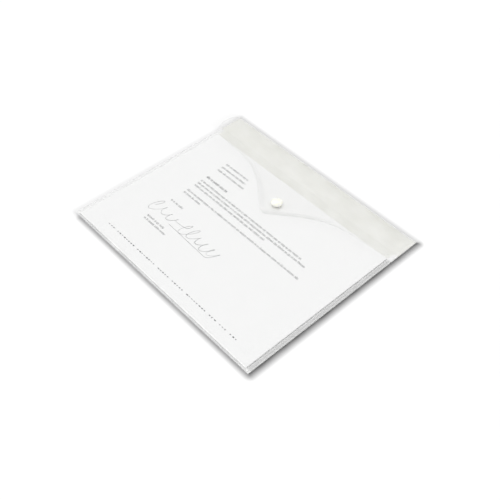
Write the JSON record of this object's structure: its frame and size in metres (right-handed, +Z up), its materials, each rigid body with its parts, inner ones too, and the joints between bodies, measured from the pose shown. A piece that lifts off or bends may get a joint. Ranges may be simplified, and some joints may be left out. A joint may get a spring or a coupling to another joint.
{
  "type": "document wallet",
  "caption": "Clear poly document wallet with an arched fold-over flap, a press-stud closure and loose pages in its flat pocket.",
  "frame": {"origin": "middle of the underside of the wallet lying flat", "axes": "+X along the flap fold, +Y from the bottom fold to the flap fold, +Z up out of the front face"},
  "size_m": [0.29, 0.252, 0.0096],
  "materials": {
    "clear_film": "clear, slightly frosted polypropylene film",
    "welded_film": "two layers of clear film welded together",
    "stud_plastic": "glossy cream moulded plastic",
    "page_paper": "matt white office paper"
  },
  "bodies": {
    "wallet": {"back_panel": "clear_film", "front_panel": "clear_film", "bottom_fold": "clear_film", "weld_left": "welded_film", "weld_right": "welded_film", "flap_crease": "clear_film", "snap_stud": "stud_plastic", "snap_back": "stud_plastic"},
    "flap": {"flap": "clear_film", "snap_cap": "stud_plastic", "snap_socket": "stud_plastic"},
    "stack": {"page_stack": "page_paper"},
    "letter": {"letter_page": "page_paper"}
  },
  "joints": [
    {"name": "flap_hinge", "type": "hinge", "parent": "wallet", "child": "flap", "pos_m": [0, 0.12565, 0.00035], "axis": [-1, 0, 0], "range_deg": [0, 135]},
    {"name": "stack_slide", "type": "slide", "parent": "wallet", "child": "stack", "axis": [0, 1, 0], "range_m": [0, 0.04]},
    {"name": "letter_slide", "type": "slide", "parent": "wallet", "child": "letter", "axis": [0, 1, 0], "range_m": [0, 0.04]}
  ]
}
